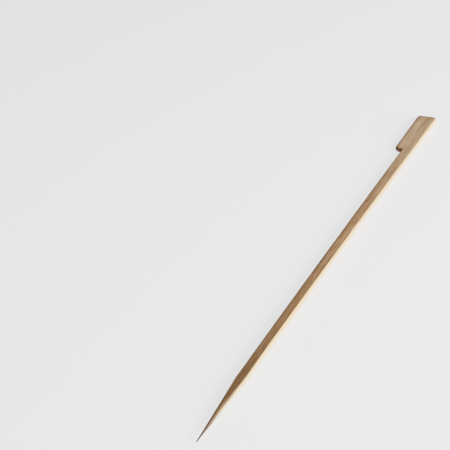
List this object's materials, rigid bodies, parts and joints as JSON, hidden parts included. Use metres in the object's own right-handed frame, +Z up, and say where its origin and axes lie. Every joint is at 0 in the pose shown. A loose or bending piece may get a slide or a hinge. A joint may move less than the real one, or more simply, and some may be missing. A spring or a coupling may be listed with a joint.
{
  "type": "bamboo flag skewer",
  "caption": "Flat bamboo skewer with rounded long edges, a hollow-ground point and a wide flag handle with a shoulder on one side.",
  "frame": {"origin": "middle of the bounding box's underside, with the skewer lying on its flat underside", "axes": "+X from the point to the flag's end, +Y towards the side with the shoulder, +Z up through the thickness"},
  "size_m": [0.25, 0.0122, 0.003],
  "materials": {
    "bamboo": "planed, unvarnished, fine lengthwise fibre"
  },
  "bodies": {
    "root": {"skewer": "bamboo"}
  },
  "joints": []
}
